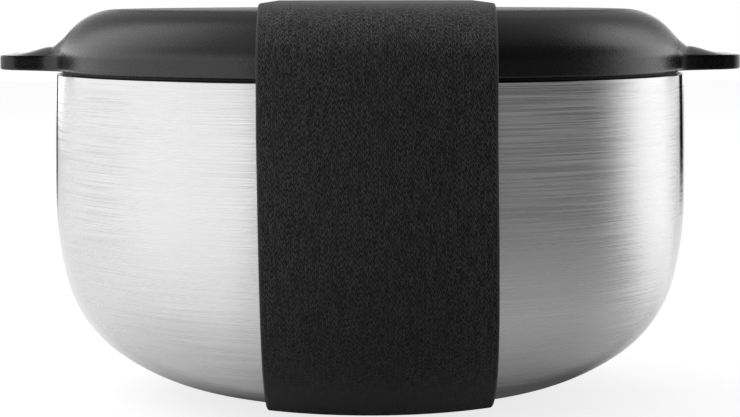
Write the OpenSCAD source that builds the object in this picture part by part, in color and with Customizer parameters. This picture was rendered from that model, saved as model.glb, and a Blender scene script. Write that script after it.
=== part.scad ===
// Double-walled stainless bowl with a domed lid and an elastic band that holds the lid on.
// Millimetres, +Z up. The origin is the middle of the footprint, on the table under the band.
// The two ears of the lid point along +X and -X, and the band runs round the bowl from front to back.

/* [Bowl] */
// Outer diameter of the bowl
bowl_d = 150; // [130:1:190]
// Height of the bowl from its base to its rim
bowl_h = 75.5; // [62:0.1:110]
// Radius of the curve that rises from the flat base
foot_curve_r = 52; // [44:0.5:58]
// Steepness where the foot curve ends, in degrees
foot_curve_angle = 36; // [30:1:40]
// Radius of the tighter heel between base and wall
heel_r = 30; // [24:0.5:36]
// Steepness where the heel ends, in degrees
heel_angle = 76; // [70:1:80]
// Radius of the slight bow of the lower wall
wall_bow_r = 80; // [60:1:100]
// Thickness of the drawn steel
steel_t = 0.6; // [0.4:0.1:0.9]
// Vacuum gap between the two walls
wall_gap = 3; // [2:0.1:5]
// Vacuum gap between the two floors
floor_gap = 6; // [4.5:0.1:9]
// How far the rim is drawn in from the widest part of the wall
rim_draw = 0.45; // [0.2:0.05:0.8]
// Radius of the rim's outer edge
rim_corner_r = 0.2; // [0.1:0.05:0.3]
// Radius of the rounded lip inside the mouth
lip_r = 1.2; // [1:0.1:1.6]

/* [Base] */
// Width of the flat ring that the outer shell keeps round the base disc
base_ring_w = 2.3; // [1.5:0.1:4]
// Thickness of the base disc
base_cover_t = 0.6; // [0.4:0.1:1]
// Diameter of the dimple round the evacuation port
dimple_d = 14; // [12:0.5:18]
// Depth of the dimple
dimple_h = 1.6; // [1.2:0.1:2.2]
// Diameter of the evacuation port
port_d = 3; // [2:0.1:4]
// Diameter of the solder bead over the port
seal_d = 8; // [6:0.5:9.5]
// Diameter of the getter pellet
getter_d = 9; // [6:0.5:11]
// Height of the getter pellet
getter_h = 2; // [1.5:0.1:2.5]
// Distance of the getter from the middle
getter_r = 17; // [15:0.5:20]

/* [Lid] */
// Height of the lid above the bowl's rim
lid_h = 15.1; // [13:0.1:20]
// How far the lid's side stands in from the bowl's rim
lid_inset = 0.55; // [0.4:0.05:1.5]
// Radius of the dome's shoulder
shoulder_r = 14.7; // [12:0.1:19]
// Steepness where the shoulder ends, in degrees
shoulder_angle = 60; // [54:1:64]
// Radius of the turn from the shoulder into the upright side
skirt_r = 6.7; // [5:0.1:8]
// Wall thickness of the lid's cover
lid_wall = 2.4; // [1.6:0.1:3]
// Clearance between lid parts that fit one in the other
fit_gap = 0.3; // [0.2:0.05:0.4]

/* [Ears] */
// Length of the lid from ear tip to ear tip
ear_span = 174.4; // [168:0.2:220]
// Width of an ear
ear_w = 28; // [22:1:36]
// Corner radius of an ear's tip
ear_corner_r = 4.5; // [3:0.5:8]
// Fillet radius where an ear's side runs into the lid
ear_fillet_r = 12; // [6:0.5:15]
// Small round along the edges of the ears and the lid's side
ear_edge_r = 0.4; // [0.2:0.1:0.6]
// Steepness of the shoulder where it starts to flow into an ear, in degrees
ear_flow_angle = 50; // [46:1:56]
// Steepness where that flow meets an ear's top, in degrees
ear_root_angle = 41; // [36:1:45]
// Height of the crown at an ear's root, above the ear's edge
ear_crown_h = 1.8; // [0.8:0.1:2.2]
// How much thinner an ear is at its tip than at the lid's side
ear_taper = 0.35; // [0:0.05:1]

/* [Seal] */
// Thickness of the seal's flange on the rim
gasket_t = 0.4; // [0.4:0.1:1]
// How far the seal's flange stands in from the lid's side
gasket_inset = 0.8; // [0.4:0.1:1.2]
// Thickness of the seal's upright wall
gasket_wall = 1.4; // [1:0.1:1.6]
// Radius of the seal's sealing bead
gasket_bead_r = 1.1; // [0.8:0.1:1.3]
// Height of the seal inside the mouth
gasket_h = 6; // [5:0.5:8]
// Depth of the lid's plug inside the mouth
plug_h = 8; // [7.5:0.5:14]
// Wall thickness of the plug
plug_wall = 1.8; // [1.2:0.1:2.4]

/* [Band] */
// Width of the elastic band
band_w = 50.8; // [30:0.1:54]
// Thickness of the elastic band
band_t = 1.5; // [1:0.1:2]
// Clearance between the band and what it wraps
band_gap = 0.25; // [0.2:0.05:0.4]
// How far the band sits to the right of the middle
band_x = 1.5; // [-3:0.5:3]
// Length of the sewn overlap at the back
lap_h = 14; // [10:1:18]
// Distance of the overlap below the rim
lap_below_rim = 1.5; // [1:0.5:4]

/* [Stitching] */
// Length of a stitch
stitch_l = 2.4; // [1.5:0.1:3]
// Distance from stitch to stitch
stitch_pitch = 3.4; // [3.2:0.1:5]
// Width of a stitch
stitch_w = 0.7; // [0.5:0.1:1]
// Height of a stitch above the band
stitch_h = 0.3; // [0.2:0.1:0.5]
// Distance of the stitch rows from the overlap's edges
stitch_margin = 2.5; // [1.5:0.1:4]

/* [Hidden] */
$fn = 180;
// Largest turn between two points of an arc in a section, in degrees
arc_step = 3;
bowl_r = bowl_d / 2;
base_z = band_t + band_gap;
rim_z = base_z + bowl_h;
// Foot, heel and bow are arcs that run into each other, so the flat base takes what is left of the radius.
foot_reach = foot_curve_r * sin(foot_curve_angle);
heel_reach = heel_r * (sin(heel_angle) - sin(foot_curve_angle));
bow_reach = wall_bow_r * (1 - sin(heel_angle));
flat_r = bowl_r - foot_reach - heel_reach - bow_reach;
foot_centre = [flat_r, foot_curve_r];
heel_centre = foot_centre + (foot_curve_r - heel_r) * [sin(foot_curve_angle), -cos(foot_curve_angle)];
bow_centre = heel_centre - (wall_bow_r - heel_r) * [sin(heel_angle), -cos(heel_angle)];
// Above the bow the wall turns in again, on a wide arc, to the rim.
wall_base_z = bow_centre[1];
wall_rise = bowl_h - wall_base_z;
upper_r = (wall_rise * wall_rise + rim_draw * rim_draw) / (2 * rim_draw);
upper_centre = [bowl_r - upper_r, wall_base_z];
rim_lean = asin(wall_rise / upper_r);
rim_r = bowl_r - rim_draw;
inner_wall_r = bowl_r - 2 * steel_t - wall_gap;
// The stepped floor of the outer shell stands over the base disc.
step_r = flat_r - base_ring_w;
base_cover_r = step_r - fit_gap;
floor_top = base_cover_t + steel_t;
dimple_r = dimple_d / 2;
dimple_roof = base_cover_t + dimple_h;
seal_cap = dimple_h - fit_gap;
seal_ball_r = (pow(seal_d / 2, 2) + pow(seal_cap, 2)) / (2 * seal_cap);
inner_floor_lift = floor_top + floor_gap - wall_gap - steel_t;
// Lid heights are measured from the rim.
lid_r = rim_r - lid_inset;
flat_top_r = lid_r - skirt_r * (1 - sin(shoulder_angle)) - shoulder_r * sin(shoulder_angle);
shoulder_centre = [flat_top_r, lid_h - shoulder_r];
skirt_centre = shoulder_centre + (shoulder_r - skirt_r) * [sin(shoulder_angle), cos(shoulder_angle)];
side_top = skirt_centre[1];
lid_bottom = fit_gap + gasket_t;
lid_inner_r = lid_r - lid_wall;
gasket_r = lid_r - gasket_inset;
gasket_bead_z = -gasket_h + gasket_bead_r;
plug_r = inner_wall_r - fit_gap - gasket_wall;
flange_r = lid_inner_r - fit_gap;
flange_t = side_top - lid_bottom - fit_gap;
// Ear outline, as the angles from the ear's middle line where tip, corner, side and fillet end.
ear_tip = ear_span / 2;
ear_half = ear_w / 2;
corner_centre = [ear_tip - ear_corner_r, ear_half - ear_corner_r];
fillet_y = ear_half + ear_fillet_r;
fillet_centre = [sqrt(pow(lid_r + ear_fillet_r, 2) - pow(fillet_y, 2)), fillet_y];
tip_end = atan2(corner_centre[1], ear_tip);
corner_end = atan2(ear_half, corner_centre[0]);
side_end = atan2(ear_half, fillet_centre[0]);
fillet_end = atan2(fillet_centre[1], fillet_centre[0]);
// The ear is full once it stands this far out from the lid's side.
ear_full = 5;
// Distance of the crown's root from the lid's side, and the length of ear that takes it halfway there
ear_root = [1.85, 2];
// How much further the crown runs level at an ear's edge than at the plain side
ear_pull = 0.6;
// Points along the shoulder, along the flow to the ear's root and on to the edge, and round the inside
shoulder_points = 6;
flow_points = [4, 7];
inside_points = [2, 4];
// Steps round a quarter of the lid: the ear's tip, its corner, its fillet and the round side
quarter_steps = [2, 4, 6, 10];
// The band leaves the rim and leans in to touch the lid's skirt.
skirt_to_rim = [rim_r, 0] - skirt_centre;
lean_angle = asin(skirt_r / norm(skirt_to_rim)) - atan2(skirt_to_rim[1], skirt_to_rim[0]);
lap_top = rim_z - lap_below_rim;
lap_d = band_gap + 2 * band_t;
slab = bowl_d * 2;

// Rectangle from one corner to the other.
module block(low, high) {
  translate(low) square(high - low);
}

function steps(from, to, n) = [for (i = [1:n]) from + (to - from) * i / n];
function reversed(list) = [for (i = [len(list) - 1:-1:0]) list[i]];
// Arc in a section. Angles turn from straight down (0) through level outwards (90) to straight up (180).
function arc(centre, r, from, to) =
  let (n = max(2, ceil(abs(to - from) / arc_step)))
  [for (i = [0:n]) let (a = from + (to - from) * i / n) centre + r * [sin(a), -cos(a)]];

// The bowl's outer face moved outwards by d: its rounded body, and the whole of it up to the given height.
function body_curve(d) = concat(
  arc(foot_centre, foot_curve_r + d, 0, foot_curve_angle),
  arc(heel_centre, heel_r + d, foot_curve_angle, heel_angle),
  arc(bow_centre, wall_bow_r + d, heel_angle, 90)
);
function bowl_curve(d, top) = concat(
  body_curve(d),
  arc(upper_centre, upper_r + d, 90, 90 + asin((top - wall_base_z) / (upper_r + d)))
);
// Distance of the upper wall's face, moved outwards by d, from the axis at the given height.
function wall_r(d, z) = upper_centre[0] + sqrt(pow(upper_r + d, 2) - pow(z - wall_base_z, 2));
function lifted(list, h) = [for (p = list) p + [0, h]];

module outer_shell() {
  edge_z = bowl_h - rim_corner_r;
  color("silver") translate([0, 0, base_z]) rotate_extrude() polygon(concat(
    [[port_d / 2, dimple_roof], [dimple_r, dimple_roof], [dimple_r, base_cover_t]],
    [[step_r, base_cover_t], [step_r, 0]],
    bowl_curve(0, edge_z),
    arc([wall_r(0, edge_z) - rim_corner_r, edge_z], rim_corner_r, 90, 180),
    reversed(bowl_curve(-steel_t, bowl_h)),
    [[step_r + steel_t, steel_t], [step_r + steel_t, floor_top], [dimple_r + steel_t, floor_top]],
    [[dimple_r + steel_t, dimple_roof + steel_t], [port_d / 2, dimple_roof + steel_t]]
  ));
}

module inner_shell() {
  d_out = -steel_t - wall_gap;
  d_in = d_out - steel_t;
  lip_centre = [inner_wall_r + lip_r, bowl_h - lip_r];
  wall_top = lip_centre[1] - inner_floor_lift;
  seam_r = wall_r(-steel_t, bowl_h);
  color("gainsboro") translate([0, 0, base_z]) rotate_extrude() polygon(concat(
    lifted([[0, -d_out]], inner_floor_lift),
    lifted(concat(body_curve(d_out), [[bowl_r + d_out, wall_top]]), inner_floor_lift),
    arc(lip_centre, lip_r - steel_t, 270, 180),
    [[seam_r, bowl_h - steel_t], [seam_r, bowl_h]],
    arc(lip_centre, lip_r, 180, 270),
    lifted(reversed(concat(body_curve(d_in), [[inner_wall_r, wall_top]])), inner_floor_lift),
    lifted([[0, -d_in]], inner_floor_lift)
  ));
}

module getter() {
  color("dimgray") translate([0, getter_r, base_z + floor_top]) cylinder(d = getter_d, h = getter_h);
}

module vacuum_seal() {
  color("lightslategray") translate([0, 0, base_z]) rotate_extrude() {
    block([0, dimple_roof], [port_d / 2, dimple_roof + steel_t]);
    intersection() {
      translate([0, dimple_roof - seal_cap + seal_ball_r]) circle(seal_ball_r);
      block([0, dimple_roof - seal_cap], [seal_d / 2, dimple_roof]);
    }
  }
}

module base_cover() {
  color("silver") translate([0, 0, base_z]) cylinder(r = base_cover_r, h = base_cover_t);
}

function smooth(t) = let (u = min(max(t, 0), 1)) u * u * (3 - 2 * u);
// Where a ray at the given angle meets a circle, on the far side (+1) or the near side (-1).
function ray_circle(centre, r, angle, side) =
  let (along = centre * [cos(angle), sin(angle)], off = centre * centre - along * along)
  along + side * sqrt(max(r * r - off, 0));

// Distance of the lid's outline from the axis, by the angle from the ear's middle line (0 to 90).
function lid_outline(angle) =
  angle <= tip_end ? ear_tip / cos(angle)
  : angle <= corner_end ? ray_circle(corner_centre, ear_corner_r, angle, 1)
  : angle <= side_end ? ear_half / sin(angle)
  : angle < fillet_end ? ray_circle(fillet_centre, ear_fillet_r, angle, -1)
  : lid_r;

// Direction that goes outwards and down at the given steepness.
function heading(angle) = [cos(angle), -sin(angle)];
// Point of a curve that leaves p in direction d_p and reaches q in direction d_q.
function curve_point(p, d_p, q, d_q, t) =
  (2 * t * t * t - 3 * t * t + 1) * p + (t * t * t - 2 * t * t + t) * d_p
  + (3 * t * t - 2 * t * t * t) * q + (t * t * t - t * t) * d_q;

// Section of the lid's cover at one angle, from the top of the dome round its edge to the inside.
function cover_section(angle) =
  let (
    edge = lid_outline(angle),
    reach = edge - lid_r,
    ear = smooth(reach / ear_full),
    flow = shoulder_angle + (ear_flow_angle - shoulder_angle) * ear,
    start = shoulder_centre + shoulder_r * [sin(flow), cos(flow)],
    end = [edge - ear_edge_r * ear, side_top],
    side = [lid_r, side_top],
    fall = norm(side - start),
    plain_root = curve_point(start, fall * heading(flow), side, fall * heading(90), 0.5),
    root_r = lid_r + ear_root[0] * reach / (reach + ear_root[1]),
    crown = ear_crown_h * max(1 - pow(root_r * sin(angle) / ear_half, 2), 0),
    root = plain_root + ([root_r, side_top + crown] - plain_root) * ear,
    dip = (shoulder_angle + 90) / 2 * (1 - ear),
    drop = norm(root - start),
    run = norm(end - root),
    bottom = lid_bottom + ear_taper * reach / (ear_tip - lid_r)
  )
  concat(
    [for (a = concat([0], steps(0, flow, shoulder_points)))
      shoulder_centre + shoulder_r * [sin(a), cos(a)]],
    [for (t = steps(0, 1, flow_points[0]))
      curve_point(start, drop * heading(flow), root, drop * heading(dip + ear_root_angle * ear), t)],
    [for (t = steps(0, 1, flow_points[1]))
      curve_point(root, run * heading(dip), end, run * (1 + ear_pull * ear) * heading(90 * (1 - ear)), t)],
    [
      [edge, side_top - ear_edge_r],
      [edge, bottom + ear_edge_r],
      [edge - ear_edge_r, bottom],
      [lid_inner_r, lid_bottom],
      [lid_inner_r, side_top]
    ],
    [for (a = steps(90, shoulder_angle, inside_points[0]))
      skirt_centre + (skirt_r - lid_wall) * [sin(a), cos(a)]],
    [for (a = steps(shoulder_angle, 0, inside_points[1]))
      shoulder_centre + (shoulder_r - lid_wall) * [sin(a), cos(a)]]
  );

module lid_cover() {
  quarter = concat([0], steps(0, tip_end, quarter_steps[0]),
    steps(tip_end, corner_end, quarter_steps[1]), [side_end],
    steps(side_end, fillet_end, quarter_steps[2]), steps(fillet_end, 90, quarter_steps[3]));
  last = len(quarter) - 1;
  half_turn = concat(quarter, [for (i = [last - 1:-1:1]) 180 - quarter[i]]);
  turn = concat(half_turn, [for (a = half_turn) a + 180]);
  from_ear = [for (a = turn) min(abs(a), abs(a - 180), abs(a - 360))];
  rings = len(cover_section(0));
  count = len(turn);
  points = concat(
    [for (i = [0:count - 1]) for (p = cover_section(from_ear[i]))
      [p[0] * cos(turn[i]), p[0] * sin(turn[i]), p[1]]],
    [[0, 0, lid_h], [0, 0, lid_h - lid_wall]]
  );
  top = count * rings;
  faces = [for (i = [0:count - 1]) let (a = i * rings, b = ((i + 1) % count) * rings) each concat(
    [[top, b, a], [top + 1, a + rings - 1, b + rings - 1]],
    [for (j = [0:rings - 2]) each [[a + j, b + j, a + j + 1], [b + j, b + j + 1, a + j + 1]]]
  )];
  color([0.11, 0.11, 0.11]) translate([0, 0, rim_z]) polyhedron(points, faces);
}

module lid_liner() {
  color([0.16, 0.16, 0.16]) translate([0, 0, rim_z]) rotate_extrude() {
    block([0, -plug_h], [plug_r, -plug_h + plug_wall]);
    block([plug_r - plug_wall, -plug_h], [plug_r, lid_bottom + flange_t]);
    block([plug_r - plug_wall, lid_bottom], [flange_r, lid_bottom + flange_t]);
  }
}

module lid_gasket() {
  bead_x = inner_wall_r - fit_gap - gasket_bead_r;
  color([0.2, 0.2, 0.2]) translate([0, 0, rim_z]) rotate_extrude() {
    block([plug_r, fit_gap], [gasket_r, lid_bottom]);
    block([plug_r, gasket_bead_z], [bead_x, lid_bottom]);
    intersection() {
      translate([bead_x, gasket_bead_z]) circle(gasket_bead_r);
      block([plug_r, -gasket_h], [inner_wall_r, 0]);
    }
  }
}

// The band's face at the distance d from the bowl and the lid, from under the base to over the lid.
function band_curve(d) = concat(
  [[0, base_z - d]],
  lifted(bowl_curve(d, bowl_h + d * sin(rim_lean)), base_z),
  lifted(arc([rim_r, 0], d, 90 + rim_lean, 180 - lean_angle), rim_z),
  lifted(arc(skirt_centre, skirt_r + d, 180 - lean_angle, 180 - shoulder_angle), rim_z),
  lifted(arc(shoulder_centre, shoulder_r + d, 180 - shoulder_angle, 180), rim_z),
  [[0, rim_z + lid_h + d]]
);

// The band is cut from a closed skin that follows the bowl and the lid.
module band() {
  band_middle = band_gap + band_t / 2;
  color([0.13, 0.13, 0.14]) intersection() {
    translate([band_x - band_w / 2, -slab / 2, -slab / 2]) cube([band_w, slab, slab]);
    union() {
      rotate_extrude() polygon(concat(band_curve(band_gap + band_t), reversed(band_curve(band_gap))));
      intersection() {
        rotate_extrude() intersection() {
          polygon(concat(band_curve(lap_d), reversed(band_curve(band_middle))));
          block([0, lap_top - lap_h], [slab, lap_top]);
        }
        translate([-slab / 2, 0, 0]) cube(slab);
      }
    }
  }
}

module band_stitching() {
  seam_w = band_w - 2 * stitch_margin;
  gaps = floor((seam_w - stitch_l) / stitch_pitch);
  rows = [lap_top - stitch_margin, lap_top - lap_h + stitch_margin];
  color([0.08, 0.08, 0.08]) for (z = rows) for (i = [0:gaps]) {
    x = band_x + (i - gaps / 2) * stitch_pitch;
    low = z - stitch_w / 2;
    lap_r = wall_r(lap_d, low - base_z);
    turn = stitch_l / lap_r * 180 / PI;
    rotate(acos(x / lap_r) - turn / 2) rotate_extrude(angle = turn)
      block([lap_r, low], [lap_r + stitch_h, low + stitch_w]);
  }
}

outer_shell();
inner_shell();
getter();
vacuum_seal();
base_cover();
lid_cover();
lid_liner();
lid_gasket();
band();
band_stitching();
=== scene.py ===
import math

import bmesh
import bpy
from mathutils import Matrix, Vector


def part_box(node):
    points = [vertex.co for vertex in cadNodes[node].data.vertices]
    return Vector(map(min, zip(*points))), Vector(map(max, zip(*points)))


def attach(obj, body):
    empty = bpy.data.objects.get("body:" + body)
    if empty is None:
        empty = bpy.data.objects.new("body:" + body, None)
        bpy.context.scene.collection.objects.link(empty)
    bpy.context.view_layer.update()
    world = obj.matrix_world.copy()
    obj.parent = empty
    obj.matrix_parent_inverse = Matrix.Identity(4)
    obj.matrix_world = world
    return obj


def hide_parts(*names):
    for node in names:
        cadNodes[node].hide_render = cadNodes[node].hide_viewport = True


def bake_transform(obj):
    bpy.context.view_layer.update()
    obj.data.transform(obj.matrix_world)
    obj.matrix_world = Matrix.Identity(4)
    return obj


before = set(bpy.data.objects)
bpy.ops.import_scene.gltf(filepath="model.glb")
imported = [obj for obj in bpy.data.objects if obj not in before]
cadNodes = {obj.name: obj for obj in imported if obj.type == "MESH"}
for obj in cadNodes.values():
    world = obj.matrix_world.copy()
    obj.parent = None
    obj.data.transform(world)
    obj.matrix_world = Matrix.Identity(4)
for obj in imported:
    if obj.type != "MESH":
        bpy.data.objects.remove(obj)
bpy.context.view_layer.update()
print("frame loaded,", len(cadNodes), "CAD nodes")

# Places that the CAD model fixes
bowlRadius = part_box("outer_shell")[1].x
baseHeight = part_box("outer_shell")[0].z
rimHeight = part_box("outer_shell")[1].z
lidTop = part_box("lid_cover")[1].z
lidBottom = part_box("lid_cover")[0].z
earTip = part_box("lid_cover")[1].x

creaseAngle = math.radians(42)  # sharper edges than this stay sharp
noiseSpan = (0.30, 0.70)  # noise between these levels becomes the full range from 0 to 1


def wire(tree, target, value):
    if isinstance(value, bpy.types.NodeSocket):
        tree.links.new(value, target)
    else:
        target.default_value = value


def addNode(tree, kind, values=None, **settings):
    made = tree.nodes.new(kind)
    for name, value in settings.items():
        setattr(made, name, value)
    for name, value in (values or {}).items():
        wire(tree, made.inputs[name], value)
    return made


def calc(tree, operation, *values):
    made = addNode(tree, "ShaderNodeMath", operation=operation)
    for socket, value in zip(made.inputs, values):
        wire(tree, socket, value)
    return made.outputs[0]


def summed(tree, first, second):
    made = addNode(tree, "ShaderNodeVectorMath", operation="ADD")
    wire(tree, made.inputs[0], first)
    wire(tree, made.inputs[1], second)
    return made.outputs[0]


def joined(tree, x, y, z):
    return addNode(tree, "ShaderNodeCombineXYZ", {"X": x, "Y": y, "Z": z}).outputs[0]


def split(tree, vector):
    return addNode(tree, "ShaderNodeSeparateXYZ", {"Vector": vector}).outputs


def between(tree, share, low, high):
    return calc(tree, "MULTIPLY_ADD", share, high - low, low)


def ramp(tree, value, low, high):
    return addNode(
        tree, "ShaderNodeMapRange", {"Value": value, "From Min": low, "From Max": high},
        interpolation_type="SMOOTHSTEP",
    ).outputs[0]


def noiseAt(tree, place, scale, detail):
    made = addNode(tree, "ShaderNodeTexNoise", {"Vector": place, "Scale": scale, "Detail": detail})
    return made.outputs[0]


# Sockets 6, 7 and 2 are the ones for colours
def mixColour(tree, share, first, second):
    made = addNode(tree, "ShaderNodeMix", data_type="RGBA")
    wire(tree, made.inputs[0], share)
    wire(tree, made.inputs[6], first)
    wire(tree, made.inputs[7], second)
    return made.outputs[2]


def grey(level, warmth=0.0):
    return (level * (1 + warmth), level, level * (1 - warmth), 1.0)


def newGroup(name, inputs, outputs):
    group = bpy.data.node_groups.new(name, "ShaderNodeTree")
    for label, default in inputs.items():
        socket = group.interface.new_socket(label, in_out="INPUT", socket_type="NodeSocketFloat")
        socket.default_value = default
    for label, kind in outputs.items():
        group.interface.new_socket(label, in_out="OUTPUT", socket_type=kind)
    return group, group.nodes.new("NodeGroupInput").outputs, group.nodes.new("NodeGroupOutput").inputs


# Each layer of brush lines: how fine it is along the lines and across them, and its detail
brushLayers = {"Scratch": (1.0, 1.0, 1.0), "Wave": (1.3, 0.75, 2.0)}


# Brush lines that run round the upright axis: r + z grows steadily from the base to the rim
def makeBrushLines():
    group, given, result = newGroup(
        "brushLines",
        {"Length": 0.02, "Height": 0.0005, "Sideways tilt": 0.05, "Upright tilt": 0.05},
        {"Scratch": "NodeSocketFloat", "Wave": "NodeSocketFloat", "Normal": "NodeSocketVector"},
    )
    x, y, z = split(group, addNode(group, "ShaderNodeTexCoord").outputs["Object"])
    radius = calc(group, "ADD", calc(group, "SQRT", calc(group, "ADD", calc(group, "MULTIPLY", x, x),
                                                         calc(group, "MULTIPLY", y, y))), 1e-6)
    cosTurn = calc(group, "DIVIDE", x, radius)
    sinTurn = calc(group, "DIVIDE", y, radius)
    climb = calc(group, "DIVIDE", calc(group, "ADD", radius, z), given["Height"])
    around = calc(group, "DIVIDE", bowlRadius, given["Length"])
    lines = {}
    for label, (fineAlong, fineAcross, detail) in brushLayers.items():
        reach = calc(group, "MULTIPLY", around, fineAlong)
        place = joined(group, calc(group, "MULTIPLY", cosTurn, reach),
                       calc(group, "MULTIPLY", sinTurn, reach), calc(group, "MULTIPLY", climb, fineAcross))
        lines[label] = ramp(group, noiseAt(group, place, 1.0, detail), *noiseSpan)
        wire(group, result[label], lines[label])
    sideways = calc(group, "MULTIPLY", calc(group, "SUBTRACT", lines["Wave"], 0.5), given["Sideways tilt"])
    upright = calc(group, "MULTIPLY", calc(group, "SUBTRACT", lines["Scratch"], 0.5), given["Upright tilt"])
    lean = joined(group, calc(group, "MULTIPLY", calc(group, "MULTIPLY", sinTurn, sideways), -1.0),
                  calc(group, "MULTIPLY", cosTurn, sideways), upright)
    bent = summed(group, addNode(group, "ShaderNodeNewGeometry").outputs["Normal"], lean)
    wire(group, result["Normal"], addNode(group, "ShaderNodeVectorMath", {"Vector": bent},
                                          operation="NORMALIZE").outputs[0])
    return group


# Fine moulded grain, with a slow mottle that keeps large faces from looking flat
def makeMouldGrain():
    group, given, result = newGroup(
        "mouldGrain", {"Grain": 0.0004, "Mottle": 0.012},
        {"Height": "NodeSocketFloat", "Cloud": "NodeSocketFloat"},
    )
    place = addNode(group, "ShaderNodeTexCoord").outputs["Object"]
    for label, size, detail in (("Height", given["Grain"], 3.0), ("Cloud", given["Mottle"], 2.0)):
        cloud = noiseAt(group, place, calc(group, "DIVIDE", 1.0, size), detail)
        wire(group, result[label], ramp(group, cloud, *noiseSpan))
    return group


brushLines = makeBrushLines()
mouldGrain = makeMouldGrain()


def newMaterial(name):
    material = bpy.data.materials.new(name)
    material.use_nodes = True
    return material, material.node_tree, material.node_tree.nodes["Principled BSDF"]


def emptyMaterial(name):
    material, tree, _ = newMaterial(name)
    tree.nodes.clear()
    return material, tree


def mixShaders(tree, share, first, second):
    mix = addNode(tree, "ShaderNodeMixShader", {"Fac": share})
    wire(tree, mix.inputs[1], first)
    wire(tree, mix.inputs[2], second)
    wire(tree, addNode(tree, "ShaderNodeOutputMaterial").inputs[0], mix.outputs[0])


# A piece that keeps its CAD shape gets a material of its own
def coat(nodeName, material):
    materials = cadNodes[nodeName].data.materials
    materials.clear()
    materials.append(material)


def placeGroup(tree, group, **values):
    made = addNode(tree, "ShaderNodeGroup", node_tree=group)
    for label, value in values.items():
        wire(tree, made.inputs[label.replace("_", " ")], value)
    return made.outputs


# How far a face turns from the camera, 0 to 1, where a finish starts to change and where it has changed
steelTurn = {"polish": (0.70, 0.88), "lines": (0.38, 0.68)}
plasticTurn = {"polish": (0.90, 0.99), "grain": (0.80, 0.97)}
plasticMottle = 0.15


# Brushed steel: its scratches scatter a little light. At a low angle they fade and it looks smoother
def makeSteel(name, dark, light, smooth, rough, stretch,
              length, height, sideways, upright, polish, scatter):
    material, tree, shader = newMaterial(name)
    facing = addNode(tree, "ShaderNodeLayerWeight", {"Blend": 0.5}).outputs["Facing"]
    graze = ramp(tree, facing, *steelTurn["polish"])
    frontal = calc(tree, "SUBTRACT", 1.0, ramp(tree, facing, *steelTurn["lines"]))
    lines = placeGroup(tree, brushLines, Length=length, Height=height, Upright_tilt=upright,
                       Sideways_tilt=calc(tree, "MULTIPLY", frontal, sideways))
    mark = calc(tree, "MULTIPLY_ADD", calc(tree, "SUBTRACT", lines["Scratch"], 0.5), frontal, 0.5)
    wire(tree, shader.inputs["Base Color"], mixColour(tree, mark, grey(dark), grey(light)))
    sheen = calc(tree, "MULTIPLY_ADD", graze, -polish, 1.0)
    wire(tree, shader.inputs["Roughness"],
         calc(tree, "MULTIPLY", sheen, between(tree, lines["Scratch"], smooth, rough)))
    scratch = calc(tree, "MULTIPLY", lines["Scratch"], frontal)
    wire(tree, shader.inputs["Metallic"], calc(tree, "MULTIPLY_ADD", scratch, -scatter, 1.0))
    wire(tree, shader.inputs["Normal"], lines["Normal"])
    tangent = addNode(tree, "ShaderNodeTangent", direction_type="RADIAL", axis="Z")
    wire(tree, shader.inputs["Tangent"], tangent.outputs[0])
    shader.inputs["Anisotropic"].default_value = stretch
    shader.inputs["Anisotropic Rotation"].default_value = 0.25  # highlights run across the brush lines
    return material


# Moulded plastic: seen at a very low angle, its fine grain looks smooth
def makePlastic(name, level, smooth, rough, grain, depth, gloss, polish):
    material, tree, shader = newMaterial(name)
    grains = placeGroup(tree, mouldGrain, Grain=grain)
    facing = addNode(tree, "ShaderNodeLayerWeight", {"Blend": 0.5}).outputs["Facing"]
    sheen = calc(tree, "MULTIPLY_ADD", ramp(tree, facing, *plasticTurn["polish"]), -polish, 1.0)
    relief = calc(tree, "SUBTRACT", 1.0, ramp(tree, facing, *plasticTurn["grain"]))
    wire(tree, shader.inputs["Base Color"], mixColour(
        tree, grains["Cloud"], grey(level * (1 - plasticMottle)), grey(level * (1 + plasticMottle))))
    wire(tree, shader.inputs["Roughness"],
         calc(tree, "MULTIPLY", sheen, between(tree, grains["Height"], smooth, rough)))
    bump = addNode(tree, "ShaderNodeBump", {
        "Height": grains["Height"], "Distance": depth, "Strength": relief})
    wire(tree, shader.inputs["Normal"], bump.outputs[0])
    shader.inputs["Specular IOR Level"].default_value = gloss
    return material


def makePiece(name, points, faces, material, places=None):
    mesh = bpy.data.meshes.new(name)
    mesh.from_pydata(points, [], faces)
    if places:
        flat = [value for place in places for value in place]
        mesh.uv_layers.new(name="surface").data.foreach_set("uv", flat)
    mesh.materials.append(material)
    mesh.shade_smooth()
    mesh.set_sharp_from_angle(angle=creaseAngle)
    mesh.update()
    piece = bpy.data.objects.new(name, mesh)
    bpy.context.scene.collection.objects.link(piece)
    return piece


# Joins rings of points into quads; a ring may close on itself, and so may the row of rings
def loft(rings, closeRing=True, closeRow=False):
    size = len(rings[0])
    points = [point for ring in rings for point in ring]
    rows = len(rings) if closeRow else len(rings) - 1
    columns = size if closeRing else size - 1
    faces = []
    for i in range(rows):
        for j in range(columns):
            here, there = i * size, (i + 1) % len(rings) * size
            after = (j + 1) % size
            faces.append((here + j, here + after, there + after, there + j))
    return points, faces


def weld(piece, distance=1e-7):
    work = bmesh.new()
    work.from_mesh(piece.data)
    bmesh.ops.remove_doubles(work, verts=work.verts, dist=distance)
    bmesh.ops.recalc_face_normals(work, faces=work.faces)
    work.to_mesh(piece.data)
    work.free()
    piece.data.set_sharp_from_angle(angle=creaseAngle)


# Even steps over a length, without its start
def stepped(start, length, count):
    return [start + length * i / count for i in range(1, count + 1)]


# Arc in a section: 0 points straight down, 90 outwards and 180 straight up
def arcPoints(centre, radius, start, end, step=1.5):
    count = max(2, math.ceil(abs(end - start) / step - 1e-6))
    turns = [math.radians(start + (end - start) * i / count) for i in range(count + 1)]
    return [(centre[0] + radius * math.sin(a), centre[1] - radius * math.cos(a)) for a in turns]


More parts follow.
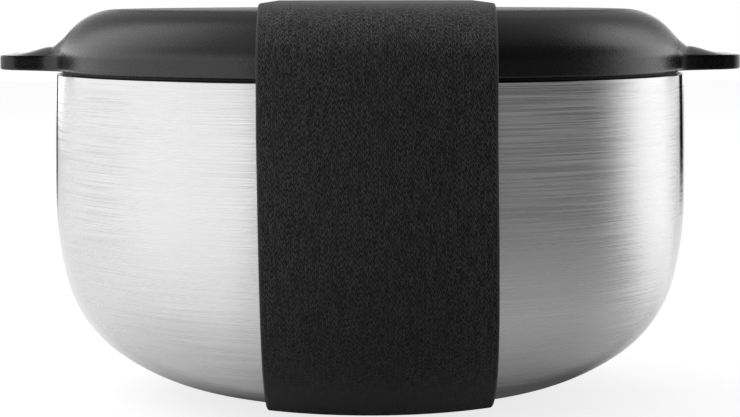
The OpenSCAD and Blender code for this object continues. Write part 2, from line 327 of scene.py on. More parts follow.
def revolve(name, profile, material, turns=256, closed=True):
    rings = []
    for i in range(turns):
        a = 2 * math.pi * i / turns
        rings.append([(r * math.cos(a), r * math.sin(a), z) for r, z in profile])
    points, faces = loft(rings, closeRing=closed, closeRow=True)
    piece = makePiece(name, points, faces, material)
    weld(piece)
    return piece


# Bowl: foot, heel and wall are arcs that run into each other
bowl = {
    "footRadius": 0.052, "footAngle": 36, "heelRadius": 0.030, "heelAngle": 76, "bowRadius": 0.080,
    "steel": 0.0006, "wallGap": 0.003, "rimDraw": 0.00045, "rimRound": 0.0002, "lipRound": 0.0012,
    "baseRing": 0.0023, "dimpleRadius": 0.007, "dimpleDepth": 0.0016, "portRadius": 0.0015,
    "wallSteps": 12, "roundStep": 15,
}


def sine(degrees):
    return math.sin(math.radians(degrees))


def cosine(degrees):
    return math.cos(math.radians(degrees))


flatRadius = (bowlRadius - bowl["footRadius"] * sine(bowl["footAngle"])
              - bowl["heelRadius"] * (sine(bowl["heelAngle"]) - sine(bowl["footAngle"]))
              - bowl["bowRadius"] * (1 - sine(bowl["heelAngle"])))
footCentre = (flatRadius, baseHeight + bowl["footRadius"])
heelCentre = (footCentre[0] + (bowl["footRadius"] - bowl["heelRadius"]) * sine(bowl["footAngle"]),
              footCentre[1] - (bowl["footRadius"] - bowl["heelRadius"]) * cosine(bowl["footAngle"]))
bowCentre = (heelCentre[0] - (bowl["bowRadius"] - bowl["heelRadius"]) * sine(bowl["heelAngle"]),
             heelCentre[1] + (bowl["bowRadius"] - bowl["heelRadius"]) * cosine(bowl["heelAngle"]))
wallFoot = bowCentre[1]
wallRise = rimHeight - wallFoot
upperRadius = (wallRise ** 2 + bowl["rimDraw"] ** 2) / (2 * bowl["rimDraw"])
upperCentre = (bowlRadius - upperRadius, wallFoot)
rimLean = math.degrees(math.asin(wallRise / upperRadius))
rimRadius = bowlRadius - bowl["rimDraw"]


def bodyCurve(offset):
    return (arcPoints(footCentre, bowl["footRadius"] + offset, 0, bowl["footAngle"])
            + arcPoints(heelCentre, bowl["heelRadius"] + offset, bowl["footAngle"], bowl["heelAngle"])[1:]
            + arcPoints(bowCentre, bowl["bowRadius"] + offset, bowl["heelAngle"], 90)[1:])


# Outer face moved outwards; above the bow it turns in a little, up to the rim
def bowlCurve(offset, top):
    turn = math.degrees(math.asin((top - wallFoot) / (upperRadius + offset)))
    upper = arcPoints(upperCentre, upperRadius + offset, 90, 90 + turn, turn / bowl["wallSteps"])
    return bodyCurve(offset) + upper[1:]


# Inner bowl: the same body, lifted, with a straight wall
def linerCurve(offset, top, lift):
    rise = top - lift - wallFoot
    climb = [(bowlRadius + offset, z) for z in stepped(wallFoot, rise, bowl["wallSteps"])]
    return [(r, z + lift) for r, z in bodyCurve(offset) + climb]


def wallReach(offset, z):
    return upperCentre[0] + math.sqrt((upperRadius + offset) ** 2 - (z - wallFoot) ** 2)


steelFinish = {
    "outside": dict(dark=0.60, light=0.80, smooth=0.25, rough=0.42, stretch=0.90, length=0.028,
                    height=0.0002, sideways=0.036, upright=0.10, polish=0.7, scatter=0.34),
    "inside": dict(dark=0.58, light=0.68, smooth=0.26, rough=0.34, stretch=0.6, length=0.020,
                   height=0.0005, sideways=0.05, upright=0.06, polish=0.2, scatter=0.06),
}
outsideSteel = makeSteel("brushedSteel", **steelFinish["outside"])
insideSteel = makeSteel("satinSteel", **steelFinish["inside"])


def makeBowlShell():
    steel = bowl["steel"]
    port = bowl["portRadius"]
    dimple = bowl["dimpleRadius"]
    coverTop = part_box("base_cover")[1].z
    roof = coverTop + bowl["dimpleDepth"]
    step = flatRadius - bowl["baseRing"]
    edge = rimHeight - bowl["rimRound"]
    rim = (wallReach(0, edge) - bowl["rimRound"], edge)
    profile = ([(port, roof), (dimple, roof), (dimple, coverTop), (step, coverTop), (step, baseHeight)]
               + bowlCurve(0, edge)
               + arcPoints(rim, bowl["rimRound"], 90, 180, bowl["roundStep"])[1:]
               + bowlCurve(-steel, rimHeight)[::-1]
               + [(step + steel, baseHeight + steel), (step + steel, coverTop + steel),
                  (dimple + steel, coverTop + steel), (dimple + steel, roof + steel), (port, roof + steel)])
    shell = revolve("bowlShell", profile, outsideSteel)
    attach(shell, "bowl")
    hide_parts("outer_shell")


def makeBowlLiner():
    steel = bowl["steel"]
    outer = -steel - bowl["wallGap"]
    inner = outer - steel
    wall = bowlRadius + inner
    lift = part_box("inner_shell")[0].z - baseHeight + outer
    lip = (wall + bowl["lipRound"], rimHeight - bowl["lipRound"])
    seam = wallReach(-steel, rimHeight)
    profile = ([(0.0, baseHeight - outer + lift)]
               + linerCurve(outer, lip[1], lift)
               + arcPoints(lip, bowl["lipRound"] - steel, 270, 180, bowl["roundStep"])[1:]
               + [(seam, rimHeight - steel), (seam, rimHeight)]
               + arcPoints(lip, bowl["lipRound"], 180, 270, bowl["roundStep"])
               + linerCurve(inner, lip[1], lift)[::-1][1:]
               + [(0.0, baseHeight - inner + lift)])
    liner = revolve("bowlLiner", profile, insideSteel, closed=False)
    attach(liner, "bowl")
    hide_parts("inner_shell")


makeBowlShell()
makeBowlLiner()
print("bowl made")

# Lid: a flat-topped dome whose shoulder flows out into an ear at each side
lid = {
    "inset": 0.00055, "shoulderRadius": 0.0147, "shoulderAngle": 60, "skirtRadius": 0.0067, "wall": 0.0024,
    "earWidth": 0.028, "earCorner": 0.0045, "earFillet": 0.0065, "earEdge": 0.0005, "lowerEdge": 0.0006,
    "holdEdge": 0.0002, "flowAngle": 50, "rootAngle": 41, "rootOut": 0.00185, "rootEase": 0.002,
    "crownHeight": 0.0018, "earTaper": 0.00035, "earFull": 0.005, "earPull": 0.6,
    "shoulderSteps": 18, "rootSteps": 10, "crownSteps": 16, "edgeSteps": 4, "hollowStep": 10,
    "quarterSteps": (8, 10, 8, 18, 26),
}
lidRadius = rimRadius - lid["inset"]
flatTop = (lidRadius - lid["skirtRadius"] * (1 - sine(lid["shoulderAngle"]))
           - lid["shoulderRadius"] * sine(lid["shoulderAngle"]))
shoulderCentre = (flatTop, lidTop - lid["shoulderRadius"])
skirtCentre = (flatTop + (lid["shoulderRadius"] - lid["skirtRadius"]) * sine(lid["shoulderAngle"]),
               shoulderCentre[1]
               + (lid["shoulderRadius"] - lid["skirtRadius"]) * cosine(lid["shoulderAngle"]))
sideTop = skirtCentre[1]
earHalf = lid["earWidth"] / 2
cornerCentre = (earTip - lid["earCorner"], earHalf - lid["earCorner"])
filletReach = lidRadius + lid["earFillet"]
filletCentre = (math.sqrt(filletReach ** 2 - (earHalf + lid["earFillet"]) ** 2), earHalf + lid["earFillet"])
tipEnd = math.atan2(cornerCentre[1], earTip)
cornerEnd = math.atan2(earHalf, cornerCentre[0])
sideEnd = math.atan2(earHalf, filletCentre[0])
filletEnd = math.atan2(filletCentre[1], filletCentre[0])


def rayToCircle(centre, radius, angle, side):
    along = centre[0] * math.cos(angle) + centre[1] * math.sin(angle)
    off = centre[0] ** 2 + centre[1] ** 2 - along ** 2
    return along + side * math.sqrt(max(radius ** 2 - off, 0.0))


def lidOutline(angle):
    if angle <= tipEnd:
        return earTip / math.cos(angle)
    if angle <= cornerEnd:
        return rayToCircle(cornerCentre, lid["earCorner"], angle, 1)
    if angle <= sideEnd:
        return earHalf / math.sin(angle)
    if angle < filletEnd:
        return rayToCircle(filletCentre, lid["earFillet"], angle, -1)
    return lidRadius


def flowPoint(start, leave, end, reach, t):
    weights = (2 * t ** 3 - 3 * t ** 2 + 1, t ** 3 - 2 * t ** 2 + t,
               3 * t ** 2 - 2 * t ** 3, t ** 3 - t ** 2)
    return tuple(sum(w * p[k] for w, p in zip(weights, (start, leave, end, reach))) for k in (0, 1))


def smoothStep(value):
    t = min(max(value, 0.0), 1.0)
    return t * t * (3 - 2 * t)


def heading(degrees, length):
    return length * cosine(degrees), -length * sine(degrees)


# Section of the cover: down the dome, over the crowned root of an ear, round its edge and up inside
def coverSection(angle):
    edge = lidOutline(angle)
    reach = edge - lidRadius
    ear = smoothStep(reach / lid["earFull"])
    flow = lid["shoulderAngle"] + (lid["flowAngle"] - lid["shoulderAngle"]) * ear
    dome = arcPoints(shoulderCentre, lid["shoulderRadius"], 180, 180 - flow, flow / lid["shoulderSteps"])
    start = dome[-1]
    end = (edge - lid["earEdge"] * ear, sideTop)
    side = (lidRadius, sideTop)
    fall = math.dist(start, side)
    plainRoot = flowPoint(start, heading(flow, fall), side, heading(90, fall), 0.5)
    rootOut = lidRadius + lid["rootOut"] * reach / (reach + lid["rootEase"])
    crown = lid["crownHeight"] * max(1 - (rootOut * math.sin(angle) / earHalf) ** 2, 0.0)
    root = tuple(a + (b - a) * ear for a, b in zip(plainRoot, (rootOut, sideTop + crown)))
    dip = (lid["shoulderAngle"] + 90) / 2 * (1 - ear)
    drop = math.dist(start, root)
    run = math.dist(root, end)
    land = heading(dip + lid["rootAngle"] * ear, drop)
    arrive = heading(90 * (1 - ear), run * (1 + lid["earPull"] * ear))
    sweep = [flowPoint(start, heading(flow, drop), root, land, t) for t in stepped(0, 1, lid["rootSteps"])]
    sweep += [flowPoint(root, heading(dip, run), end, arrive, t) for t in stepped(0, 1, lid["crownSteps"])]
    turns = stepped(0, 90, lid["edgeSteps"])
    upper = [(edge - lid["earEdge"] * ear * (1 - sine(a)), sideTop - lid["earEdge"] * (1 - cosine(a)))
             for a in turns]
    low = lid["lowerEdge"] + (lid["earEdge"] - lid["lowerEdge"]) * ear
    bottom = lidBottom + lid["earTaper"] * reach / (earTip - lidRadius)
    lower = [(edge - low * (1 - cosine(a)), bottom + low * (1 - sine(a))) for a in [0] + turns]
    wall = [(edge, sideTop - lid["earEdge"] - lid["holdEdge"]), (edge, bottom + low + lid["holdEdge"])]
    inside = lidRadius - lid["wall"]
    turnOver = 180 - lid["shoulderAngle"]
    step = lid["hollowStep"]
    hollow = (arcPoints(skirtCentre, lid["skirtRadius"] - lid["wall"], 90, turnOver, step)
              + arcPoints(shoulderCentre, lid["shoulderRadius"] - lid["wall"], turnOver, 180, step)[1:])
    return dome + sweep + upper + wall + lower + [(inside, lidBottom)] + hollow


def makeLidCover(material):
    marks = (0.0, tipEnd, cornerEnd, sideEnd, filletEnd, math.pi / 2)
    quarter = [0.0]
    for start, end, count in zip(marks, marks[1:], lid["quarterSteps"]):
        quarter += stepped(start, end - start, count)
    half = quarter + [math.pi - a for a in quarter[-2:0:-1]]
    turn = half + [a + math.pi for a in half]
    rings = []
    for a in turn:
        fromEar = min(abs(a), abs(a - math.pi), abs(a - 2 * math.pi))
        section = [(0.0, lidTop)] + coverSection(fromEar) + [(0.0, lidTop - lid["wall"])]
        rings.append([(r * math.cos(a), r * math.sin(a), z) for r, z in section])
    points, faces = loft(rings, closeRing=False, closeRow=True)
    cover = makePiece("lidCover", points, faces, material)
    weld(cover)
    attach(cover, "lid")
    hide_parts("lid_cover")


plasticFinish = {
    "cover": dict(level=0.0025, smooth=0.21, rough=0.30, grain=0.0004, depth=0.000014, gloss=0.5,
                  polish=0.55),
    "liner": dict(level=0.012, smooth=0.30, rough=0.38, grain=0.0006, depth=0.00002, gloss=0.5,
                  polish=0.0),
    "seal": dict(level=0.010, smooth=0.55, rough=0.70, grain=0.0003, depth=0.00003, gloss=0.4,
                 polish=0.0),
}
makeLidCover(makePlastic("blackPlastic", **plasticFinish["cover"]))
coat("lid_liner", makePlastic("linerPlastic", **plasticFinish["liner"]))
coat("lid_gasket", makePlastic("silicone", **plasticFinish["seal"]))
print("lid made")

# Elastic band: one woven loop round bowl and lid, sewn where its ends lap at the back
band = {
    "width": 0.0508, "thickness": 0.0015, "gap": 0.00025, "edgeRound": 0.0005,
    "halfSteps": 640, "faceSteps": 26, "cornerSteps": 4, "innerSteps": 8, "rimStep": 4,
    "toothPitch": 0.0011, "toothDepth": 0.00006, "swell": 0.00025,
    "drift": 0.0009, "driftTop": 0.066, "driftEase": 0.3, "driftPower": 6,
    "lapHeight": 0.014, "lapBelowRim": 0.0015, "lapRamp": 0.0013, "lapEdge": 0.0005, "lapSink": 0.1,
    "lapNarrow": 0.998, "lapLeast": 0.02, "lapEdgeSteps": 4, "lapFaceSteps": 30, "lapRampSteps": 8,
}
bandMiddle = (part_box("band")[0].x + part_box("band")[1].x) / 2
bandHalf = band["width"] / 2 + band["swell"]
rimToSkirt = (rimRadius - skirtCentre[0], rimHeight - skirtCentre[1])
leanAngle = math.degrees(math.asin(lid["skirtRadius"] / math.hypot(*rimToSkirt))
                         - math.atan2(rimToSkirt[1], rimToSkirt[0]))


# Half loop at a distance from bowl and lid, from under the base to over the lid
def wrapCurve(offset):
    turnOver = 180 - lid["shoulderAngle"]
    return (bowlCurve(offset, rimHeight + offset * sine(rimLean))
            + arcPoints((rimRadius, rimHeight), offset, 90 + rimLean, 180 - leanAngle, band["rimStep"])[1:]
            + arcPoints(skirtCentre, lid["skirtRadius"] + offset, 180 - leanAngle, turnOver)
            + arcPoints(shoulderCentre, lid["shoulderRadius"] + offset, turnOver, 180)[1:])


# The band sits a little askew: low down it lies further to the right
def bandPlace(across, z):
    down = max(0.0, 1 - z / band["driftTop"])
    ease = 1 - band["driftEase"] * down ** band["driftPower"]
    return bandMiddle + across + band["drift"] * down * ease


def evenly(path, count):
    lengths = [0.0]
    for a, b in zip(path, path[1:]):
        lengths.append(lengths[-1] + math.dist(a, b))
    found, at = [], 0
    for i in range(count + 1):
        target = lengths[-1] * i / count
        while at < len(path) - 2 and lengths[at + 1] < target:
            at += 1
        share = (target - lengths[at]) / max(lengths[at + 1] - lengths[at], 1e-12)
        found.append(tuple(a + (b - a) * share for a, b in zip(path[at], path[at + 1])))
    return found, lengths[-1]


# The band's own section as (across, outwards) pairs: outer face, edge, inner face, edge
def bandSection(across, thickness):
    r = band["edgeRound"]
    steps = stepped(0, 90, band["cornerSteps"])
    flat = across - r
    outer = [(-flat + 2 * flat * i / band["faceSteps"], thickness) for i in range(band["faceSteps"] + 1)]
    right = ([(flat + r * sine(a), thickness - r * (1 - cosine(a))) for a in steps]
             + [(flat + r * cosine(a), r * (1 - sine(a))) for a in [0] + steps])
    inner = [(flat - 2 * flat * i / band["innerSteps"], 0.0) for i in range(1, band["innerSteps"])]
    left = [(-x, h) for x, h in reversed(right)]
    return outer + right + inner + left


# Places on the cloth, across and along it, for the quads between rings
def clothPlaces(section, marks):
    places = []
    for near, far in zip(marks, marks[1:]):
        for j in range(len(section)):
            here, after = section[j][0], section[(j + 1) % len(section)][0]
            places += [(here, near), (after, near), (after, far), (here, far)]
    return places


def makeBandLoop(section):
    count = band["halfSteps"]
    columns = []
    length = 0.0
    for across, height in section:
        curve = wrapCurve(band["gap"] + height)
        spots = [(r, bandPlace(across, z), z) for r, z in curve]
        path = [(math.sqrt(r * r - x * x), z) for r, x, z in spots if r > abs(x) + 1e-5]
        path = [(0.0, curve[0][1])] + path + [(0.0, curve[-1][1])]
        half, size = evenly(path, count)
        length = max(length, size)
        columns.append([(-y, z) for y, z in half[:-1]] + [(y, z) for y, z in half[:0:-1]])
    rings = []
    for i in range(2 * count):
        tooth = band["toothDepth"] * math.sin(2 * math.pi * length * i / count / band["toothPitch"])
        ring = []
        for (across, height), column in zip(section, columns):
            edge = smoothStep((abs(across) - bandHalf + 2 * band["edgeRound"]) / band["edgeRound"])
            y, z = column[i]
            ring.append((bandPlace(across, z) + math.copysign(tooth * edge, across), y, z))
        rings.append(ring)
    points, faces = loft(rings, closeRow=True)
    places = clothPlaces(section, [length * i / count for i in range(2 * count + 1)])
    return points, faces, places, 2 * length


# The end that laps over the other one: it steps out under the rim and stops at a cut edge
def makeBandLap(section, loopLength):
    edge = band["lapEdge"]
    sunk = band["thickness"] * band["lapSink"]
    top = rimHeight - band["lapBelowRim"]
    bottom = top - band["lapHeight"]
    heights = ([bottom] + stepped(bottom, edge, band["lapEdgeSteps"])
               + stepped(bottom + edge, band["lapHeight"] - edge, band["lapFaceSteps"])
               + stepped(top, band["lapRamp"], band["lapRampSteps"]))
    rings = []
    for z in heights:
        seat = wallReach(band["gap"] + band["thickness"] - sunk, z)
        lowEdge = min(1.0, (z - bottom) / edge)
        rise = math.sqrt(1 - (1 - lowEdge) ** 2) * (1 - smoothStep((z - top) / band["lapRamp"]))
        ring = []
        for across, height in section:
            x = bandPlace(across * band["lapNarrow"], z)
            out = seat + (sunk + height) * max(rise, band["lapLeast"])
            ring.append((x, math.sqrt(out * out - x * x), z))
        rings.append(ring)
    points, faces = loft(rings)
    size = len(section)
    faces += [tuple(range(size)), tuple(range(len(points) - 1, len(points) - 1 - size, -1))]
    places = clothPlaces(section, [loopLength - z for z in heights])
    places += [(x, loopLength) for x, h in section] + [(x, loopLength) for x, h in reversed(section)]
    return points, faces, places


# The gap colour is painted shade in the low places of the weave.
webbing = {
    "yarn": 0.084, "gap": 0.005, "columnPitch": 0.00042, "rowPitch": 0.00130, "selvage": 0.0006,
    "selvageFade": 0.1, "selvageLow": 0.45, "selvageRib": 0.5, "lean": 0.75, "stitchEdge": (0.05, 0.40),
    "wander": 0.9, "wanderScale": 420.0, "jitter": 1.6, "jitterScale": 900.0,
    "pick": (0.35, 1.2), "fuzz": (0.5, 1.1), "fuzzScale": 5200.0, "depth": 0.00026, "relief": 0.8,
    "roughness": 0.85, "gloss": 0.25, "sheen": 0.28, "sheenRoughness": 0.40,
}


# Columns of slanted stitches, leaning left and right in turn, with a plain selvage at each edge
def makeWebbing():
    material, tree, shader = newMaterial("elasticWebbing")
    place = addNode(tree, "ShaderNodeUVMap", uv_map="surface").outputs[0]
    across, along, _ = split(tree, place)
    wander = noiseAt(tree, place, webbing["wanderScale"], 2.0)
    column = calc(tree, "MULTIPLY_ADD", wander, webbing["wander"],
                  calc(tree, "DIVIDE", across, webbing["columnPitch"]))
    cell = calc(tree, "FLOOR", column)
    inCell = calc(tree, "FRACT", column)
    side = calc(tree, "PINGPONG", cell, 1.0)
    shuffle = addNode(tree, "ShaderNodeTexWhiteNoise", {"W": cell}, noise_dimensions="1D").outputs["Value"]
    lean = calc(tree, "MULTIPLY", inCell, between(tree, side, -webbing["lean"], webbing["lean"]))
    jitter = calc(tree, "MULTIPLY", noiseAt(tree, place, webbing["jitterScale"], 1.0), webbing["jitter"])
    slant = calc(tree, "ADD", lean, shuffle)
    row = calc(tree, "ADD", calc(tree, "DIVIDE", along, webbing["rowPitch"]), slant)
    row = calc(tree, "ADD", row, jitter)
    stitch = calc(tree, "PINGPONG", row, 0.5)
    crown = calc(tree, "SQRT", calc(tree, "SINE", calc(tree, "MULTIPLY", inCell, math.pi)))
    count = calc(tree, "FLOOR", calc(tree, "ADD", row, 0.5))
    pick = addNode(tree, "ShaderNodeTexWhiteNoise", {"Vector": joined(tree, cell, count, 0.0)},
                   noise_dimensions="2D").outputs["Value"]
    yarn = calc(tree, "MULTIPLY", ramp(tree, stitch, *webbing["stitchEdge"]),
                calc(tree, "MULTIPLY", crown, between(tree, pick, *webbing["pick"])))
    margin = ramp(tree, calc(tree, "ABSOLUTE", across),
                  bandHalf - webbing["selvage"] * (1 + webbing["selvageFade"]),
                  bandHalf - webbing["selvage"] * (1 - webbing["selvageFade"]))
    rib = calc(tree, "PINGPONG", calc(tree, "DIVIDE", along, webbing["rowPitch"] / 2), 0.5)
    plain = calc(tree, "ADD", webbing["selvageLow"], calc(tree, "MULTIPLY", rib, webbing["selvageRib"]))
    height = calc(tree, "ADD", calc(tree, "MULTIPLY", yarn, calc(tree, "SUBTRACT", 1.0, margin)),
                  calc(tree, "MULTIPLY", plain, margin))
    fuzz = noiseAt(tree, place, webbing["fuzzScale"], 2.0)
    # Colour follows the bump's height. Each stitch's random tone is its own, but the dark gaps and yarn
    # edges are painted shade in the weave's recesses.
    shade = calc(tree, "MULTIPLY", height, between(tree, fuzz, *webbing["fuzz"]))
    wire(tree, shader.inputs["Base Color"],
         mixColour(tree, shade, grey(webbing["gap"]), grey(webbing["yarn"])))
    bump = addNode(tree, "ShaderNodeBump", {
        "Height": height, "Distance": webbing["depth"], "Strength": webbing["relief"]})
    wire(tree, shader.inputs["Normal"], bump.outputs[0])
    shader.inputs["Roughness"].default_value = webbing["roughness"]
    shader.inputs["Specular IOR Level"].default_value = webbing["gloss"]
    shader.inputs["Sheen Weight"].default_value = webbing["sheen"]
    shader.inputs["Sheen Roughness"].default_value = webbing["sheenRoughness"]
    return material


def makeBand():
    section = bandSection(bandHalf, band["thickness"])
    points, faces, places, length = makeBandLoop(section)
    lapPoints, lapFaces, lapPlaces = makeBandLap(section, length)
    faces += [tuple(index + len(points) for index in face) for face in lapFaces]
    loop = makePiece("bandLoop", points + lapPoints, faces, makeWebbing(), places + lapPlaces)
    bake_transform(loop)
    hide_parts("band")
    print("band made, cut length", round(length + band["lapHeight"], 4))


makeBand()

thread = {
    "pitch": 0.0034, "length": 0.0024, "width": 0.0007, "height": 0.0004, "margin": 0.0025,
    "endShare": 0.55, "flatness": 0.6, "sink": 0.6, "sides": 10, "rings": 12,
    "dark": 0.012, "light": 0.03, "roughness": 0.55,
    "twistScale": 900.0, "twistBend": 1.5, "twistDepth": 0.00008,
}


def makeThread():
    material, tree, shader = newMaterial("thread")
    place = addNode(tree, "ShaderNodeTexCoord").outputs["Object"]
    twist = addNode(tree, "ShaderNodeTexWave", {
        "Vector": place, "Scale": thread["twistScale"], "Distortion": thread["twistBend"],
    }, bands_direction="DIAGONAL").outputs[1]
    # The twist darkens the same grooves that the bump sinks: painted shade between the plies of the thread.
    wire(tree, shader.inputs["Base Color"],
         mixColour(tree, twist, grey(thread["dark"]), grey(thread["light"])))
    bump = addNode(tree, "ShaderNodeBump", {"Height": twist, "Distance": thread["twistDepth"]})
    wire(tree, shader.inputs["Normal"], bump.outputs[0])
    shader.inputs["Roughness"].default_value = thread["roughness"]
    return material


# Two rows of lockstitch; each stitch is a short thread that dives into the band at both ends
def makeStitches():
    top = rimHeight - band["lapBelowRim"]
    rows = (top - thread["margin"], top - band["lapHeight"] + thread["margin"])
    gaps = math.floor((band["width"] - 2 * thread["margin"] - thread["length"]) / thread["pitch"])
    points, faces = [], []
    for z in rows:
        lapFace = wallReach(band["gap"] + 2 * band["thickness"], z)
        for i in range(gaps + 1):
            middle = bandPlace((i - gaps / 2) * thread["pitch"], z)
            rings = []
            for k in range(thread["rings"] + 1):
                t = k / thread["rings"]
                x = middle + (t - 0.5) * thread["length"]
                arch = math.sin(math.pi * t) ** 0.5
                thick = thread["width"] / 2 * (thread["endShare"] + (1 - thread["endShare"]) * arch)
                out = lapFace + thread["height"] * (arch - thread["sink"])
                ring = []
                for s in range(thread["sides"]):
                    a = 2 * math.pi * s / thread["sides"]
                    reach = out + thread["flatness"] * thick * math.cos(a)
                    ring.append((x, math.sqrt(reach * reach - x * x), z + thick * math.sin(a)))
                rings.append(ring)
            made, sides = loft(rings)
            size = thread["sides"]
            ends = [tuple(range(size))[::-1], tuple(range(len(made) - size, len(made)))]
            faces += [tuple(index + len(points) for index in face) for face in sides + ends]
            points += made
    stitches = makePiece("lapStitches", points, faces, makeThread())
    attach(stitches, "band_top")
    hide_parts("band_stitching")


makeStitches()
print("stitches made")


# Small metal pieces that show only from below or not at all keep their CAD shape
def makeDullMetal(name, dark, light, grain, mottle, smooth, rough, depth):
    material, tree, shader = newMaterial(name)
    grains = placeGroup(tree, mouldGrain, Grain=grain, Mottle=mottle)
    wire(tree, shader.inputs["Base Color"], mixColour(tree, grains["Cloud"], grey(dark), grey(light)))
    wire(tree, shader.inputs["Roughness"], between(tree, grains["Height"], smooth, rough))
    bump = addNode(tree, "ShaderNodeBump", {"Height": grains["Height"], "Distance": depth})
    wire(tree, shader.inputs["Normal"], bump.outputs[0])
    shader.inputs["Metallic"].default_value = 1.0
    return material


metalFinish = {
    "getter": dict(dark=0.16, light=0.30, grain=0.0003, mottle=0.0024, smooth=0.52, rough=0.68,
                   depth=0.00005),
    "solder": dict(dark=0.42, light=0.60, grain=0.0012, mottle=0.0096, smooth=0.32, rough=0.48,
                   depth=0.00005),
}
coat("base_cover", outsideSteel)
coat("getter", makeDullMetal("sinteredGetter", **metalFinish["getter"]))
coat("vacuum_seal", makeDullMetal("solder", **metalFinish["solder"]))
print("small metal pieces coated")

# Studio: white all round, with soft boxes and dark cards that only reflections see
studio = {
    "floorSize": 4.0, "floorDrop": 0.0001, "floorWhite": 0.9, "floorBounce": 0.15,
    "floorGlow": 0.8, "floorShade": 0.285, "ambient": 0.55,
    "keyPlace": (-0.75, -0.25, 0.95), "keySize": 0.9, "keyPower": 5.0,
    "topPlace": (0.0, 0.25, 1.2), "topSize": 1.0, "topPower": 4.0,
    "lampAim": (0.0, 0.0, 0.05), "cardSteps": (60, 20), "cardLift": 0.001,
}
# Each card spans a range of compass angles, 0 towards the camera and 90 to its right. It lies on the
# floor between two radii, or rises on a sphere between two elevations; its levels run the same way.
cards = {
    "darkSide": {"from": -38.0, "to": 100.0, "radius": 0.60, "rise": (0.0, 66.0),
                 "levels": (0.11, 0.09, 0.09, 0.15), "sideFade": (0.04, 0.15), "endFade": (0.01, 0.30)},
    "darkFront": {"from": -37.0, "to": 40.0, "radius": 0.58, "rise": (0.0, 60.0),
                  "levels": (0.0, 0.02), "sideFade": (0.08, 0.25), "endFade": (0.01, 0.30)},
    # This floor card is darkest next to the bowl: a painted shadow of the bowl on the floor, seen only in
    # reflections. Further out it is a plain dark card.
    "darkFloorAndShadow": {"from": -20.0, "to": 100.0, "floor": (0.035, 0.60),
                  "levels": (0.07, 0.08, 0.36, 0.54, 0.42, 0.34, 0.28, 0.20, 0.12),
                  "sideFade": (0.15, 0.15), "endFade": (0.05, 0.02)},
    "rightFloor": {"from": 90.0, "to": 138.0, "floor": (0.10, 1.2), "levels": (0.8, 1.3, 1.5),
                   "sideFade": (0.25, 0.35), "endFade": (0.10, 0.02)},
    "leftBox": {"from": -150.0, "to": -36.0, "radius": 1.2, "rise": (1.0, 78.0),
                "levels": (1.52, 1.52, 1.45), "sideFade": (0.15, 0.07), "endFade": (0.035, 0.45)},
    "leftVeil": {"from": -105.0, "to": -35.0, "radius": 0.60, "rise": (20.0, 78.0),
                 "levels": (0.7, 0.6), "sideFade": (0.6, 0.02), "endFade": (0.16, 0.2)},
    "leftFloor": {"from": -112.0, "to": -33.0, "floor": (0.07, 1.2), "levels": (0.9, 1.4, 1.5),
                  "sideFade": (0.6, 0.05), "endFade": (0.15, 0.02)},
    "leftLow": {"from": -168.0, "to": -138.0, "radius": 1.1, "rise": (0.5, 9.0),
                "levels": (1.5, 1.5), "sideFade": (0.1, 0.3), "endFade": (0.05, 0.4)},
    "rightBox": {"from": 100.8, "to": 152.0, "radius": 1.2, "rise": (1.0, 52.0),
                 "levels": (1.66, 1.66), "sideFade": (0.2, 0.45), "endFade": (0.05, 0.3)},
    "rightFlag": {"from": 142.0, "to": 152.0, "radius": 0.4, "rise": (0.0, 20.0),
                  "levels": (0.0, 0.0), "sideFade": (0.15, 0.15), "endFade": (0.25, 0.10)},
    "leftFlag": {"from": -157.0, "to": -149.5, "radius": 0.4, "rise": (0.0, 20.0),
                 "levels": (0.0, 0.0), "sideFade": (0.2, 0.2), "endFade": (0.20, 0.10)},
    "backCard": {"from": 166.0, "to": 194.0, "radius": 1.0, "rise": (5.7, 52.0),
                 "levels": (0.13, 0.25), "sideFade": (0.2, 0.2), "endFade": (0.03, 0.4)},
    "ceiling": {"from": -180.0, "to": 180.0, "radius": 1.5, "rise": (9.0, 89.0),
                "levels": (0.3, 0.3), "sideFade": None, "endFade": (0.10, None)},
}


def makeFloor():
    half = studio["floorSize"] / 2
    low = -studio["floorDrop"]
    corners = [(-half, -half, low), (half, -half, low), (half, half, low), (-half, half, low)]
    material, tree = emptyMaterial("paleFloor")
    path = addNode(tree, "ShaderNodeLightPath").outputs
    seen = calc(tree, "MAXIMUM", path["Is Camera Ray"], path["Is Transmission Ray"])
    colour = mixColour(
        tree, path["Is Diffuse Ray"], grey(studio["floorWhite"]), grey(studio["floorBounce"]))
    plain = addNode(tree, "ShaderNodeBsdfDiffuse", {"Color": colour}).outputs[0]
    shaded = addNode(tree, "ShaderNodeBsdfDiffuse", {"Color": grey(studio["floorShade"])}).outputs[0]
    glow = addNode(tree, "ShaderNodeEmission", {"Strength": studio["floorGlow"]}).outputs[0]
    white = addNode(tree, "ShaderNodeAddShader")
    wire(tree, white.inputs[0], shaded)
    wire(tree, white.inputs[1], glow)
    mixShaders(tree, seen, plain, white.outputs[0])
    floor = makePiece("floor", corners, [(0, 1, 2, 3)], material)


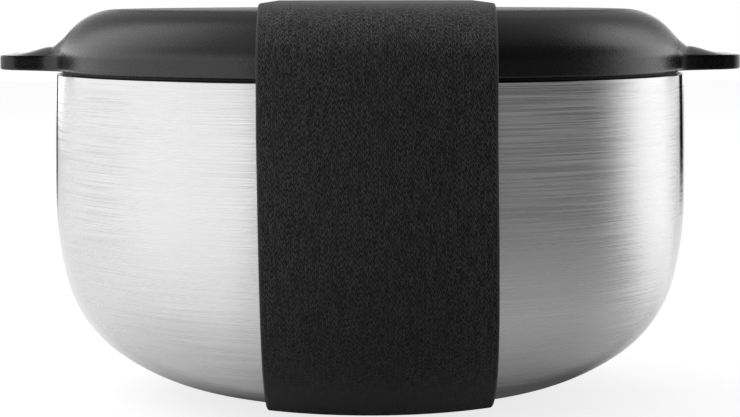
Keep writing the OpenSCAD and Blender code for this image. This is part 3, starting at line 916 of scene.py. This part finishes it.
# The edges of a card fade away
def makeCard(name, card):
    across, upward = studio["cardSteps"]
    lift = studio["cardLift"]
    shares = [i / upward for i in range(upward + 1)]
    if "floor" in card:
        low, high = card["floor"]
        profile = [(low * (high / low) ** share, lift) for share in shares]
    else:
        bottom, top = card["rise"]
        angles = [math.radians(bottom + (top - bottom) * share) for share in shares]
        profile = [(card["radius"] * math.cos(a), card["radius"] * math.sin(a) + lift) for a in angles]
    rings = []
    for i in range(across + 1):
        a = math.radians(card["from"] + (card["to"] - card["from"]) * i / across)
        rings.append([(r * math.sin(a), -r * math.cos(a), z) for r, z in profile])
    points, faces = loft(rings, closeRing=False)
    places = []
    for i in range(across):
        for j in range(upward):
            places += [(i / across, j / upward), (i / across, (j + 1) / upward),
                       ((i + 1) / across, (j + 1) / upward), ((i + 1) / across, j / upward)]
    material, tree = emptyMaterial(name)
    u, v, _ = split(tree, addNode(tree, "ShaderNodeUVMap", uv_map="surface").outputs[0])
    start, end = card["endFade"]
    solid = ramp(tree, v, 0.0, start)
    if end:
        solid = calc(tree, "MULTIPLY", solid, ramp(tree, v, 1.0, 1.0 - end))
    if card["sideFade"]:
        left, right = card["sideFade"]
        solid = calc(tree, "MULTIPLY", solid, ramp(tree, u, 0.0, left))
        solid = calc(tree, "MULTIPLY", solid, ramp(tree, u, 1.0, 1.0 - right))
    levels = card["levels"]
    level = levels[0]
    for i in range(1, len(levels)):
        share = ramp(tree, v, (i - 1) / (len(levels) - 1), i / (len(levels) - 1))
        level = calc(tree, "MULTIPLY_ADD", share, levels[i] - levels[i - 1], level)
    glow = addNode(tree, "ShaderNodeEmission", {"Strength": level}).outputs[0]
    clear = addNode(tree, "ShaderNodeBsdfTransparent").outputs[0]
    mixShaders(tree, solid, clear, glow)
    made = makePiece(name, points, faces, material, places)
    made.visible_camera = False
    made.visible_diffuse = False
    made.visible_shadow = False


def makeWorld():
    world = bpy.data.worlds.new("whiteStudio")
    world.use_nodes = True
    tree = world.node_tree
    tree.nodes.clear()
    path = addNode(tree, "ShaderNodeLightPath").outputs
    seen = calc(tree, "MAXIMUM", calc(tree, "MAXIMUM", path["Is Camera Ray"], path["Is Glossy Ray"]),
                path["Is Transmission Ray"])
    strength = between(tree, seen, studio["ambient"], 1.0)
    background = addNode(tree, "ShaderNodeBackground", {"Color": grey(1.0), "Strength": strength})
    wire(tree, addNode(tree, "ShaderNodeOutputWorld").inputs[0], background.outputs[0])
    bpy.context.scene.world = world


def makeLamp(name, place, size, power):
    data = bpy.data.lights.new(name, "AREA")
    data.shape = "DISK"
    data.size = size
    data.energy = power
    lamp = bpy.data.objects.new(name, data)
    lamp.location = place
    lamp.rotation_euler = (Vector(studio["lampAim"]) - Vector(place)).to_track_quat("-Z", "Y").to_euler()
    lamp.visible_camera = False
    lamp.visible_glossy = False
    bpy.context.scene.collection.objects.link(lamp)


makeFloor()
for cardName, cardSizes in cards.items():
    makeCard(cardName, cardSizes)
makeWorld()
makeLamp("keyLamp", studio["keyPlace"], studio["keySize"], studio["keyPower"])
makeLamp("topLamp", studio["topPlace"], studio["topSize"], studio["topPower"])

# Camera fitted to the photograph, whose frame is 740 pixels wide
view = {
    "place": (0.0, -0.600, 0.09769), "tilt": 0.0886, "roll": 0.0013,
    "focalPixels": 2500.0, "framePixels": 740.0, "sensor": 36.0,
}
cameraData = bpy.data.cameras.new("camera")
cameraData.sensor_width = view["sensor"]
cameraData.lens = view["focalPixels"] / view["framePixels"] * view["sensor"]
camera = bpy.data.objects.new("camera", cameraData)
camera.location = view["place"]
camera.rotation_euler = (math.pi / 2 - view["tilt"], view["roll"], 0)
bpy.context.scene.collection.objects.link(camera)
bpy.context.scene.camera = camera
bpy.context.scene.view_settings.view_transform = "Standard"
print("studio and camera set")
